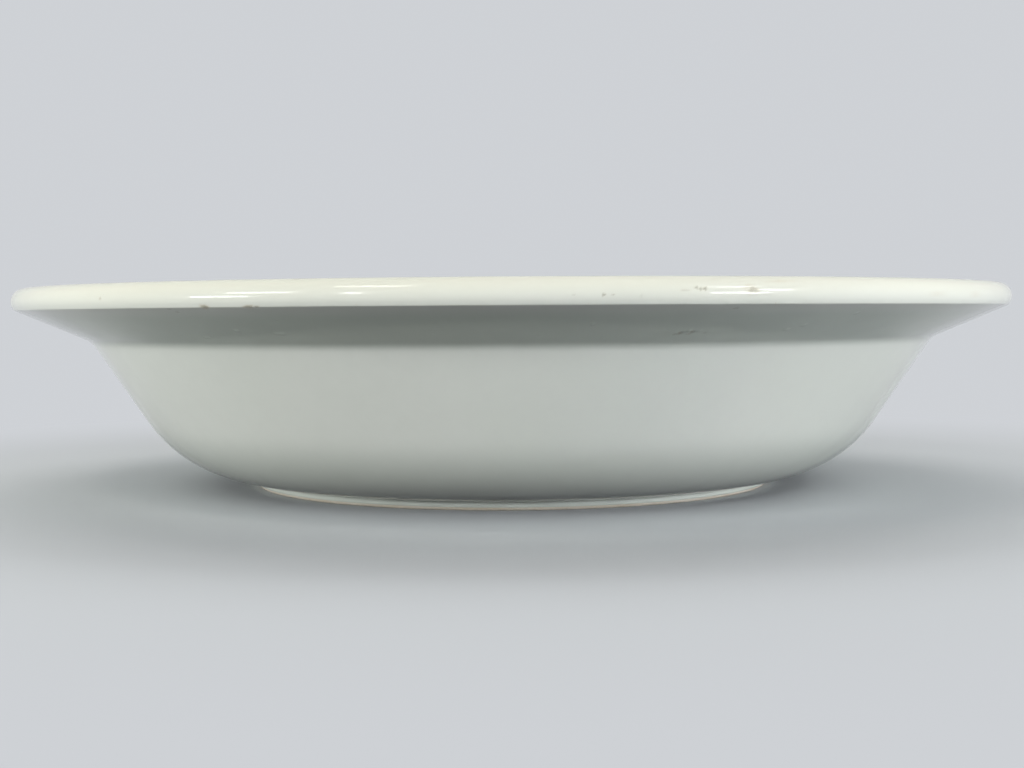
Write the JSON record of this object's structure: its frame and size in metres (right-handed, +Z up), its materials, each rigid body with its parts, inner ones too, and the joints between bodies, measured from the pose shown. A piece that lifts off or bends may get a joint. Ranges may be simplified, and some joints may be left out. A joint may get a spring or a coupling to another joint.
{
  "type": "deep dish",
  "caption": "Round deep dish of white glazed earthenware with a thick rounded lip, a wide sloping flange, a steep wall curving into a broad belly, and a low foot ring.",
  "frame": {"origin": "centre of the foot's bearing plane, where the dish rests", "axes": "+Z up along the axis of rotation, out of the open bowl; X and Y lie in the table plane, and the pictured side faces -Y"},
  "size_m": [0.3, 0.3, 0.0603],
  "materials": {
    "fired_clay": "matt fired earthenware, cream",
    "bare_foot": "matt, worn and slightly soiled",
    "white_glaze": "glossy clear glaze over white, slightly uneven, with a faint cream-green tint",
    "base_glaze": "glossy, pooled in the corner"
  },
  "bodies": {
    "root": {"clay_body": "fired_clay", "foot_ring": "bare_foot", "glaze_coat": "white_glaze", "base_glaze": "base_glaze"}
  },
  "joints": []
}
